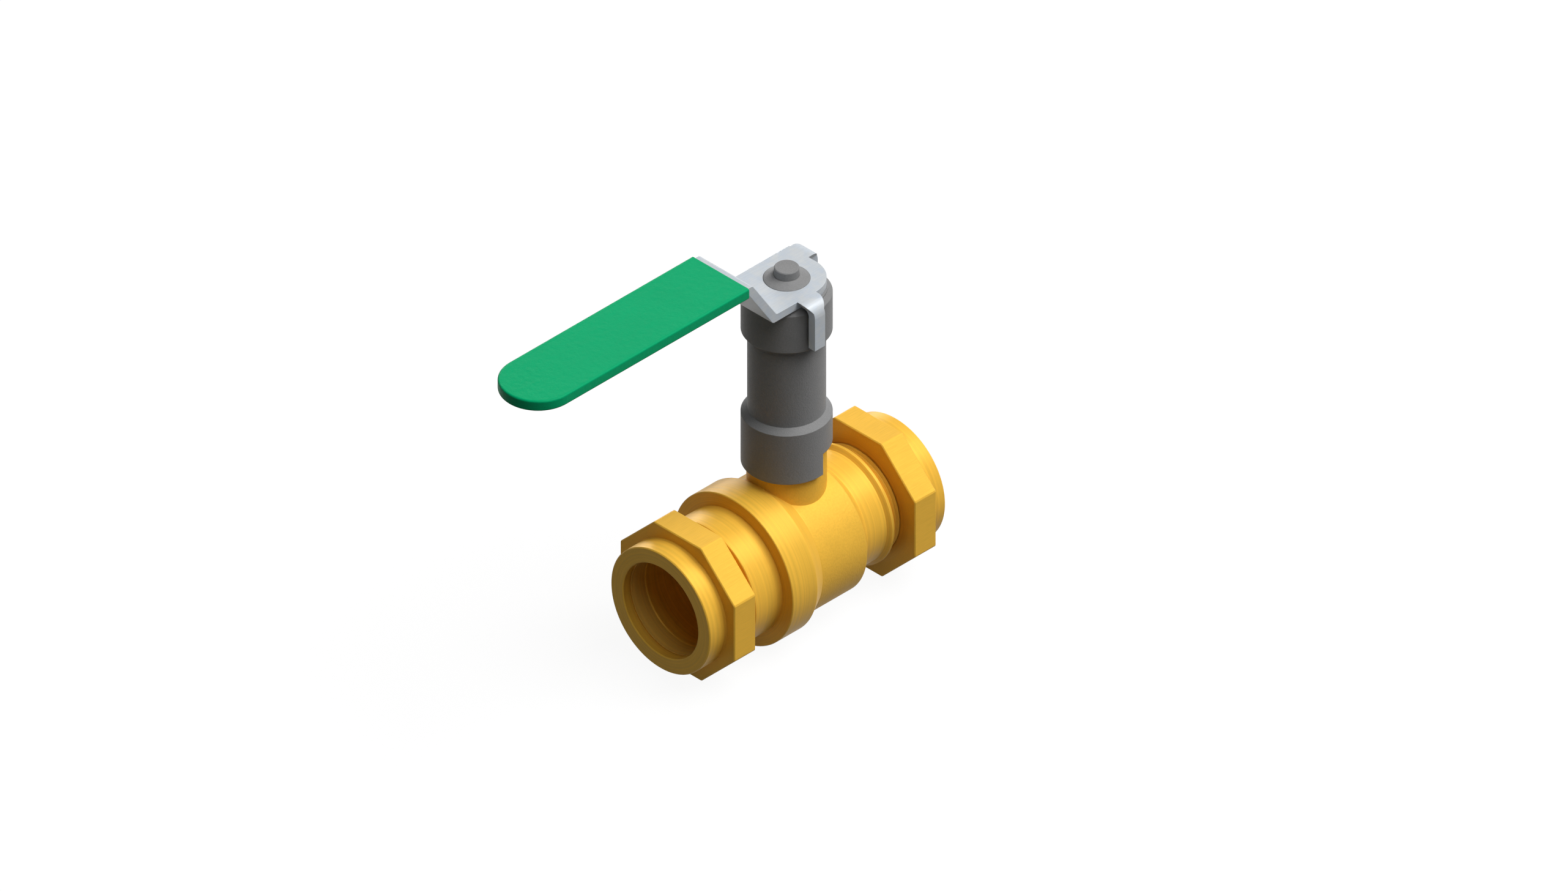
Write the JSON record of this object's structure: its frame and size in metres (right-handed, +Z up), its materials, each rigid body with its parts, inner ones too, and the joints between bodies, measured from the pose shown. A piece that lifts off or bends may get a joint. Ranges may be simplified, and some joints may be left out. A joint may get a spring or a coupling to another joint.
{
  "type": "compression ball valve",
  "caption": "Straight ball valve for 35 mm tube: a compression nut on both ends, a turning extension neck, and a flat cranked lever in a soft green sleeve.",
  "frame": {"origin": "where the tube axis crosses the stem axis, in the middle of the ball", "axes": "+X along the tube axis towards the outlet, away from the open lever; +Z up the stem; +Y to the side"},
  "size_m": [0.1824, 0.0566, 0.1524],
  "materials": {
    "cast_brass": "cast and machined brass, satin",
    "turned_brass": "turned brass, fine feed marks",
    "nut_brass": "forged and turned brass, satin",
    "olive_brass": "soft brass, bright",
    "ball_chrome": "polished hard chrome",
    "seal_plastic": "white low-friction plastic",
    "seal_rubber": "black rubber",
    "steel_pin": "ground steel",
    "grey_plastic": "dark grey moulded plastic, fine texture",
    "lever_steel": "zinc-plated sheet steel",
    "green_vinyl": "green dipped vinyl, soft sheen"
  },
  "bodies": {
    "valve": {"valve_body": "cast_brass", "body_end": "turned_brass", "body_joint_seal": "seal_plastic", "seat_left": "seal_plastic", "seat_right": "seal_plastic", "thrust_washer": "seal_plastic", "gland_packing": "seal_plastic", "gland_nut": "turned_brass"},
    "lever_assembly": {"ball": "ball_chrome", "stem": "turned_brass", "stem_o_ring": "seal_rubber", "coupling_pin": "steel_pin", "extension_spindle": "grey_plastic", "extension_sleeve": "grey_plastic", "extension_cap": "grey_plastic", "lever": "lever_steel", "grip_sleeve": "green_vinyl", "retaining_collar": "grey_plastic"},
    "olive_carrier_left": {"olive_left": "olive_brass"},
    "olive_carrier_right": {"olive_right": "olive_brass"},
    "nut_body_left": {"nut_left": "nut_brass"},
    "nut_body_right": {"nut_right": "nut_brass"}
  },
  "joints": [
    {"name": "lever_turn", "type": "hinge", "parent": "valve", "child": "lever_assembly", "pos_m": [0, 0, 0], "axis": [0, 0, 1], "range_deg": [0, 90]},
    {"name": "nut_left_travel", "type": "slide", "parent": "valve", "child": "olive_carrier_left", "axis": [-1, 0, 0], "range_m": [0, 0.009]},
    {"name": "nut_left_turn", "type": "hinge", "parent": "olive_carrier_left", "child": "nut_body_left", "pos_m": [-0.05113, 0, 0], "axis": [-1, 0, 0], "range_deg": [0, 2160]},
    {"name": "nut_right_travel", "type": "slide", "parent": "valve", "child": "olive_carrier_right", "axis": [1, 0, 0], "range_m": [0, 0.009]},
    {"name": "nut_right_turn", "type": "hinge", "parent": "olive_carrier_right", "child": "nut_body_right", "pos_m": [0.04313, 0, 0], "axis": [1, 0, 0], "range_deg": [0, 2160]}
  ],
  "couplings": [
    {"joint": "nut_left_turn", "follows": "nut_left_travel", "rad_per_m": 4188.8},
    {"joint": "nut_right_turn", "follows": "nut_right_travel", "rad_per_m": 4188.8}
  ]
}
